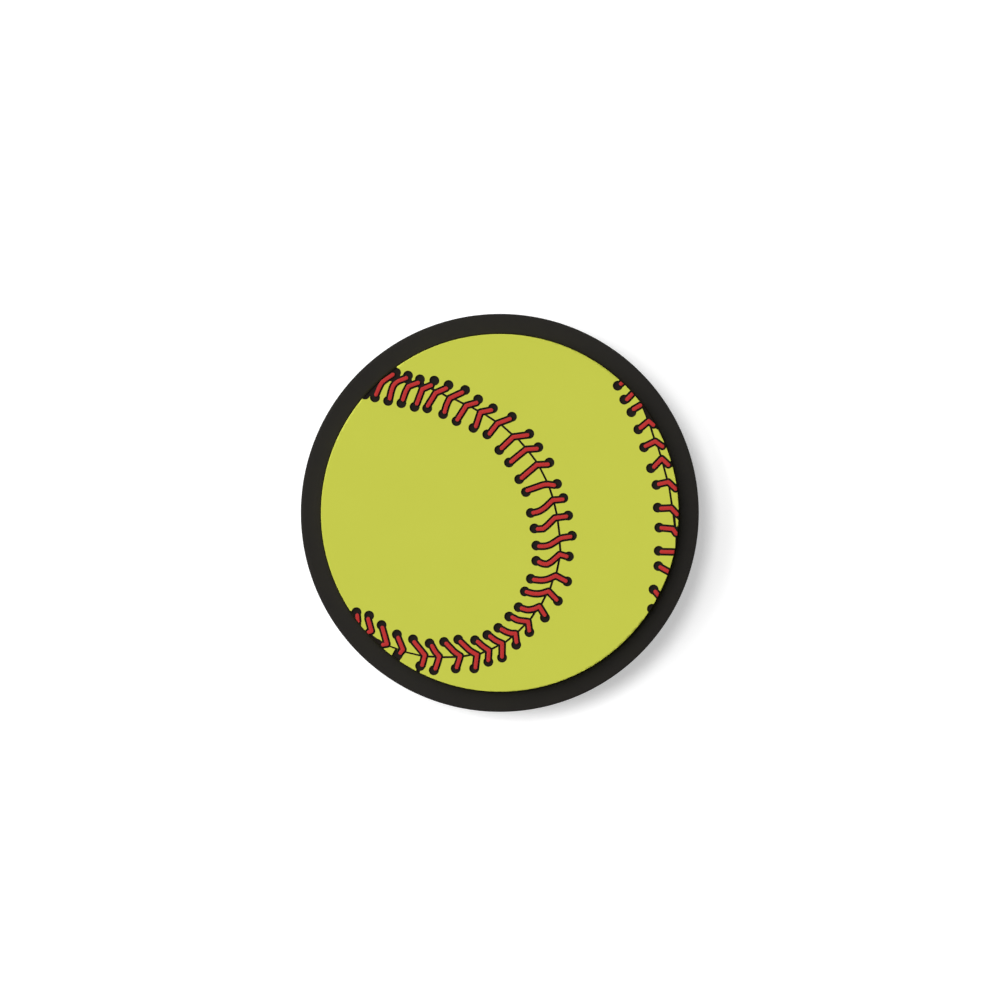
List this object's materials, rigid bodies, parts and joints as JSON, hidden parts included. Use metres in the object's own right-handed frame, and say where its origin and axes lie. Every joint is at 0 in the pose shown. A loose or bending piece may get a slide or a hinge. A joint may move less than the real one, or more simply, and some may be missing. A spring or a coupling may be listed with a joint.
{
  "type": "softball shoe charm",
  "caption": "Round soft-plastic snap-in charm: black rimmed disc with a raised yellow softball face, red laces in two curved seams, and a button on its back.",
  "frame": {"origin": "centre of the foot of the snap button, on the surface the charm stands on", "axes": "+Z out of the softball face along the disc's axis, +Y to the top of the picture on the face, +X to its right"},
  "size_m": [0.028, 0.028, 0.0096],
  "materials": {
    "rim_black": "satin",
    "ball_yellow": "satin",
    "lace_red": "satin",
    "linework_black": "satin",
    "button_black": "satin"
  },
  "bodies": {
    "root": {"rim_disc": "rim_black", "ball_face": "ball_yellow", "snap_button": "button_black", "left_seam_linework": "linework_black", "right_seam_linework": "linework_black", "left_lace_01": "lace_red", "left_lace_02": "lace_red", "left_lace_03": "lace_red", "left_lace_04": "lace_red", "left_lace_05": "lace_red", "left_lace_06": "lace_red", "left_lace_07": "lace_red", "left_lace_08": "lace_red", "left_lace_09": "lace_red", "left_lace_10": "lace_red", "left_lace_11": "lace_red", "left_lace_12": "lace_red", "left_lace_13": "lace_red", "left_lace_14": "lace_red", "left_lace_15": "lace_red", "left_lace_16": "lace_red", "left_lace_17": "lace_red", "left_lace_18": "lace_red", "left_lace_19": "lace_red", "left_lace_20": "lace_red", "left_lace_21": "lace_red", "left_lace_22": "lace_red", "left_lace_23": "lace_red", "left_lace_24": "lace_red", "left_lace_25": "lace_red", "left_lace_26": "lace_red", "left_lace_27": "lace_red", "left_lace_28": "lace_red", "left_lace_29": "lace_red", "left_lace_30": "lace_red", "left_lace_31": "lace_red", "left_lace_32": "lace_red", "right_lace_01": "lace_red", "right_lace_02": "lace_red", "right_lace_03": "lace_red", "right_lace_04": "lace_red", "right_lace_05": "lace_red", "right_lace_06": "lace_red", "right_lace_07": "lace_red", "right_lace_08": "lace_red", "right_lace_09": "lace_red", "right_lace_10": "lace_red", "right_lace_11": "lace_red", "right_lace_12": "lace_red"}
  },
  "joints": []
}
